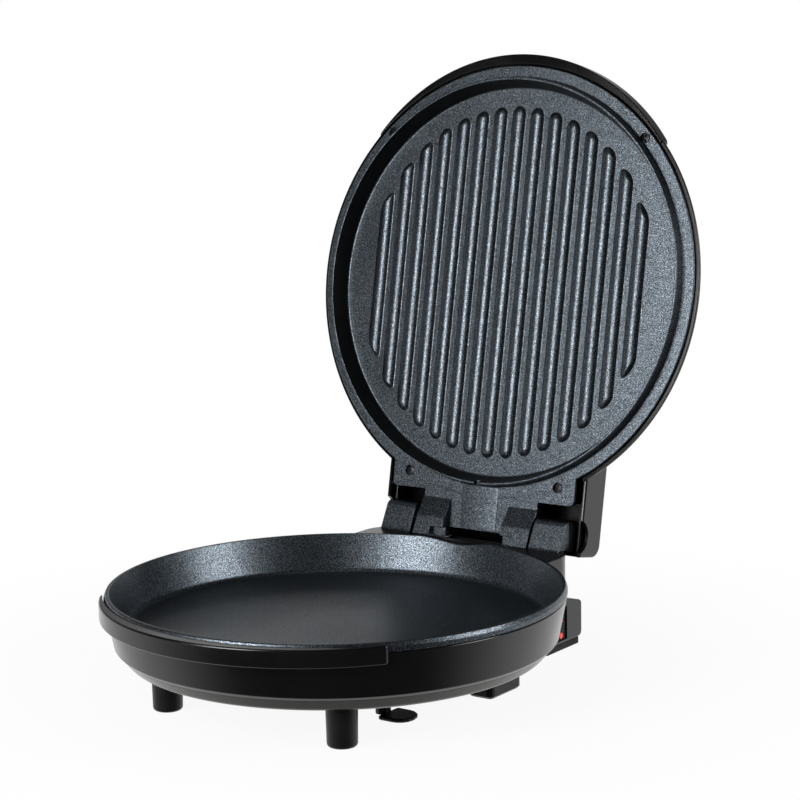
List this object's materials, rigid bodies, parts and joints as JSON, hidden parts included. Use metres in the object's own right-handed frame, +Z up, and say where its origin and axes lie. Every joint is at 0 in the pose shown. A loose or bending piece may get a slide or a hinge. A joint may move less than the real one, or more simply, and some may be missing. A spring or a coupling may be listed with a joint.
{
  "type": "electric baking pan",
  "caption": "Round two-plate electric baking pan with a shallow lower pan, a ribbed upper plate in a hinged lid, standing open on its feet",
  "frame": {"origin": "on the worktop, under the middle of the open pan's bounding box", "axes": "+Z up, +Y from the front grip to the hinge, +X to the side with the indicator lamps"},
  "size_m": [0.319, 0.4202, 0.4172],
  "materials": {
    "speckled_coating": "speckled non-stick coating on cast aluminium",
    "black_plastic": "gloss black",
    "matt_black_plastic": "fine matt",
    "bronze_cover": "satin paint",
    "steel": "plain",
    "aluminium_sheet": "mill finish",
    "ceramic": "matt",
    "red_lens": "clear red",
    "rubber": "moulded"
  },
  "bodies": {
    "base": {"base_heat_shield": "aluminium_sheet", "base_housing": "black_plastic", "bottom_cover": "bronze_cover", "cord_hook_left": "matt_black_plastic", "cord_hook_right": "matt_black_plastic", "front_foot_left": "matt_black_plastic", "front_foot_right": "matt_black_plastic", "heating_lamp": "red_lens", "hinge_ear_left": "speckled_coating", "hinge_ear_right": "speckled_coating", "hinge_pin_left": "steel", "hinge_pin_right": "steel", "indicator_strip": "matt_black_plastic", "inlet_blade_earth": "steel", "inlet_blade_line": "steel", "inlet_blade_neutral": "steel", "lower_heating_element": "steel", "lower_pan": "speckled_coating", "lower_thermal_fuse": "ceramic", "lower_thermostat": "steel", "power_inlet": "matt_black_plastic", "power_lamp": "red_lens", "rear_foot_left": "matt_black_plastic", "rear_foot_right": "matt_black_plastic", "rear_stand": "rubber", "terminal_block": "ceramic", "terminal_housing": "black_plastic"},
    "lid": {"upper_plate": "speckled_coating", "lid_shell": "black_plastic", "lid_heat_shield": "aluminium_sheet", "upper_heating_element": "steel", "upper_thermostat": "steel", "upper_thermal_fuse": "ceramic", "plate_screw_front_right": "steel", "plate_screw_front_left": "steel", "plate_screw_back_right": "steel", "plate_screw_back_left": "steel"}
  },
  "joints": [
    {"name": "lid_hinge", "type": "hinge", "parent": "base", "child": "lid", "pos_m": [0, 0.12828, 0.082], "axis": [1, 0, 0], "range_deg": [0, 101]}
  ]
}
